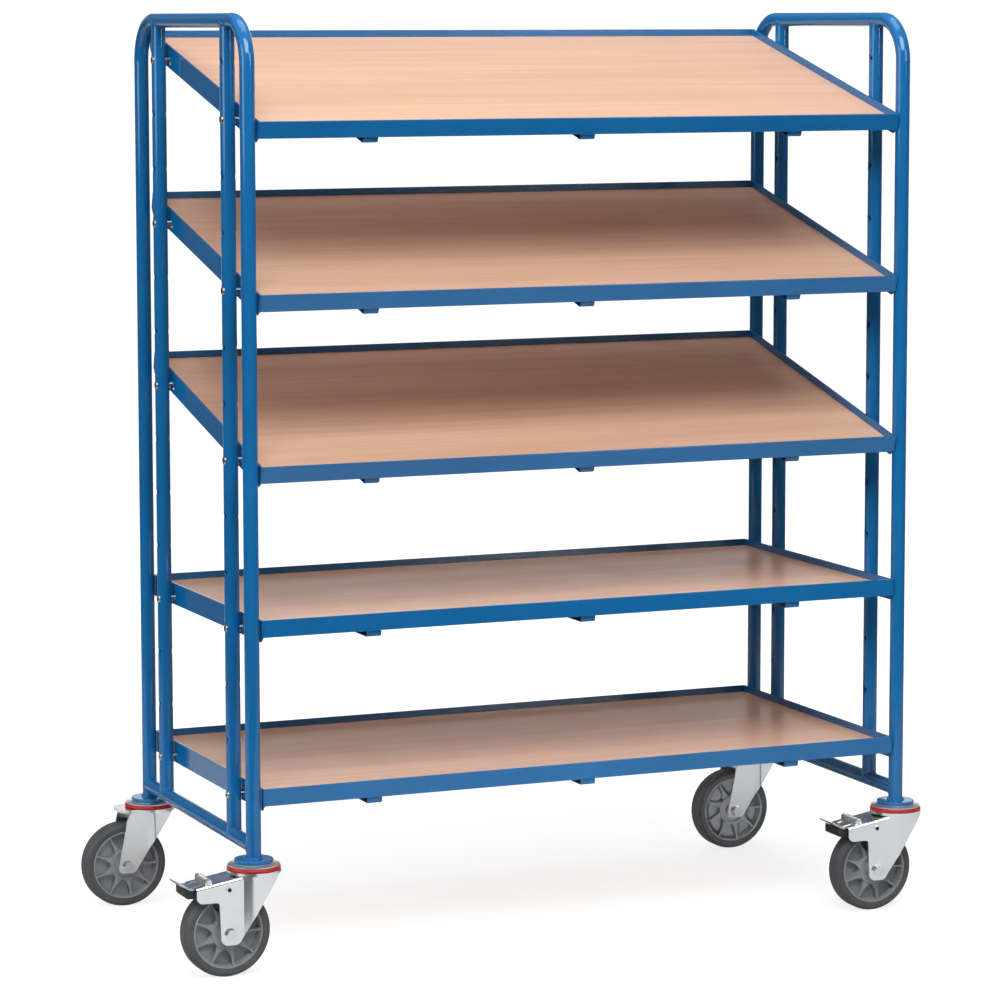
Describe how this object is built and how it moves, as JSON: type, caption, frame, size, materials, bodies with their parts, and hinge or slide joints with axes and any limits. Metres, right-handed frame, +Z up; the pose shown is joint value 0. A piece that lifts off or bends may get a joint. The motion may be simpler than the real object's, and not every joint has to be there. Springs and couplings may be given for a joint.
{
  "type": "euro container trolley",
  "caption": "Tall shelf trolley with tube end frames, tray shelves in wood and blue steel, the upper ones sloping to the front, on swivel castors with pedal brakes at the front.",
  "frame": {"origin": "centre of the bounding box on the floor", "axes": "+Z up, -Y the front where the containers go in and the brakes are, +X to the right when facing the front; mm in the solids"},
  "size_m": [1.4818, 0.6884, 1.686],
  "materials": {
    "blue_coat": "glossy powder coat",
    "beech_board": "satin beech decor",
    "zinc_steel": "bright zinc plate",
    "wheel_grey": "moulded, satin",
    "tyre_grey": "solid elastic tyre, matt",
    "red_seal": "moulded, half gloss",
    "black_block": "moulded, matt"
  },
  "bodies": {
    "frame": {"left_end_hoop": "blue_coat", "left_front_upright": "blue_coat", "left_rear_upright": "blue_coat", "left_bottom_rail": "blue_coat", "right_end_hoop": "blue_coat", "right_front_upright": "blue_coat", "right_rear_upright": "blue_coat", "right_bottom_rail": "blue_coat", "castor_mount_discs": "blue_coat", "leg_thread_plugs": "zinc_steel", "shelf_1_rim": "blue_coat", "shelf_1_board": "beech_board", "shelf_1_bearers": "blue_coat", "shelf_2_rim": "blue_coat", "shelf_2_board": "beech_board", "shelf_2_bearers": "blue_coat", "shelf_3_rim": "blue_coat", "shelf_3_board": "beech_board", "shelf_3_bearers": "blue_coat", "shelf_4_rim": "blue_coat", "shelf_4_board": "beech_board", "shelf_4_bearers": "blue_coat", "shelf_5_rim": "blue_coat", "shelf_5_board": "beech_board", "shelf_5_bearers": "blue_coat", "shelf_bolts": "zinc_steel", "shelf_nuts": "zinc_steel", "shelf_spacers": "zinc_steel", "castor_head_plates": "zinc_steel", "castor_seal_rings": "red_seal", "castor_ball_races": "zinc_steel", "castor_king_bolts": "zinc_steel"},
    "front_left_swivel": {"front_left_fork": "zinc_steel", "front_left_axle": "zinc_steel", "front_left_sleeve": "zinc_steel", "front_left_pedal_pin": "zinc_steel"},
    "front_left_wheel": {"front_left_wheel_rim": "wheel_grey", "front_left_tyre": "tyre_grey"},
    "front_left_brake": {"front_left_pedal": "zinc_steel", "front_left_brake_block": "black_block"},
    "front_right_swivel": {"front_right_fork": "zinc_steel", "front_right_axle": "zinc_steel", "front_right_sleeve": "zinc_steel", "front_right_pedal_pin": "zinc_steel"},
    "front_right_wheel": {"front_right_wheel_rim": "wheel_grey", "front_right_tyre": "tyre_grey"},
    "front_right_brake": {"front_right_pedal": "zinc_steel", "front_right_brake_block": "black_block"},
    "rear_left_swivel": {"rear_left_fork": "zinc_steel", "rear_left_axle": "zinc_steel", "rear_left_sleeve": "zinc_steel"},
    "rear_left_wheel": {"rear_left_wheel_rim": "wheel_grey", "rear_left_tyre": "tyre_grey"},
    "rear_right_swivel": {"rear_right_fork": "zinc_steel", "rear_right_axle": "zinc_steel", "rear_right_sleeve": "zinc_steel"},
    "rear_right_wheel": {"rear_right_wheel_rim": "wheel_grey", "rear_right_tyre": "tyre_grey"}
  },
  "joints": [
    {"name": "front_left_swivel_turn", "type": "hinge", "parent": "frame", "child": "front_left_swivel", "pos_m": [-0.59332, -0.296, 0.187], "axis": [0, 0, 1], "continuous": true},
    {"name": "front_left_wheel_spin", "type": "hinge", "parent": "front_left_swivel", "child": "front_left_wheel", "pos_m": [-0.64782, -0.296, 0.08], "axis": [0, 1, 0], "continuous": true},
    {"name": "front_left_pedal_press", "type": "hinge", "parent": "front_left_swivel", "child": "front_left_brake", "pos_m": [-0.68732, -0.296, 0.1754], "axis": [0, -1, 0], "range_deg": [0, 17]},
    {"name": "front_right_swivel_turn", "type": "hinge", "parent": "frame", "child": "front_right_swivel", "pos_m": [0.69268, -0.296, 0.187], "axis": [0, 0, 1], "continuous": true},
    {"name": "front_right_wheel_spin", "type": "hinge", "parent": "front_right_swivel", "child": "front_right_wheel", "pos_m": [0.63818, -0.296, 0.08], "axis": [0, 1, 0], "continuous": true},
    {"name": "front_right_pedal_press", "type": "hinge", "parent": "front_right_swivel", "child": "front_right_brake", "pos_m": [0.59868, -0.296, 0.1754], "axis": [0, -1, 0], "range_deg": [0, 17]},
    {"name": "rear_left_swivel_turn", "type": "hinge", "parent": "frame", "child": "rear_left_swivel", "pos_m": [-0.59332, 0.296, 0.187], "axis": [0, 0, 1], "continuous": true},
    {"name": "rear_left_wheel_spin", "type": "hinge", "parent": "rear_left_swivel", "child": "rear_left_wheel", "pos_m": [-0.64782, 0.296, 0.08], "axis": [0, 1, 0], "continuous": true},
    {"name": "rear_right_swivel_turn", "type": "hinge", "parent": "frame", "child": "rear_right_swivel", "pos_m": [0.69268, 0.296, 0.187], "axis": [0, 0, 1], "continuous": true},
    {"name": "rear_right_wheel_spin", "type": "hinge", "parent": "rear_right_swivel", "child": "rear_right_wheel", "pos_m": [0.63818, 0.296, 0.08], "axis": [0, 1, 0], "continuous": true}
  ]
}
